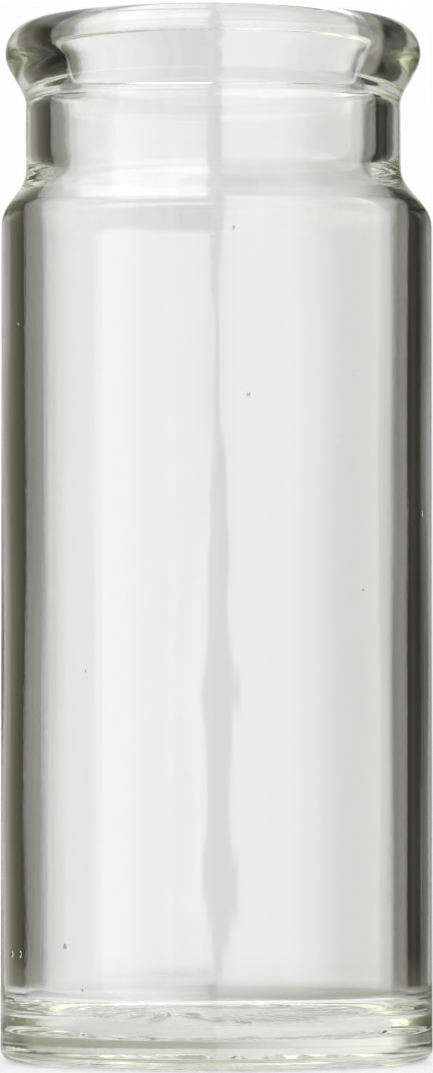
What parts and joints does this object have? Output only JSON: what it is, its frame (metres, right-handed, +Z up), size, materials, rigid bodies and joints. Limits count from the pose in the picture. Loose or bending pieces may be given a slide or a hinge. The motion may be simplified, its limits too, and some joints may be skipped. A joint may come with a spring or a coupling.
{
  "type": "glass sample vial",
  "caption": "Clear glass sample vial with a thick base, straight round body, sloping shoulder, short neck and flared rounded lip round an open mouth.",
  "frame": {"origin": "centre of the ring that the vial stands on, in the plane of the surface under it", "axes": "+Z up the vial's axis and out of its mouth, +X to the right and +Y to the back as seen from the front"},
  "size_m": [0.025, 0.025, 0.0603],
  "materials": {
    "clear_glass": "clear, fire-polished, faintly green through thick glass"
  },
  "bodies": {
    "root": {"glass_body": "clear_glass"}
  },
  "joints": []
}
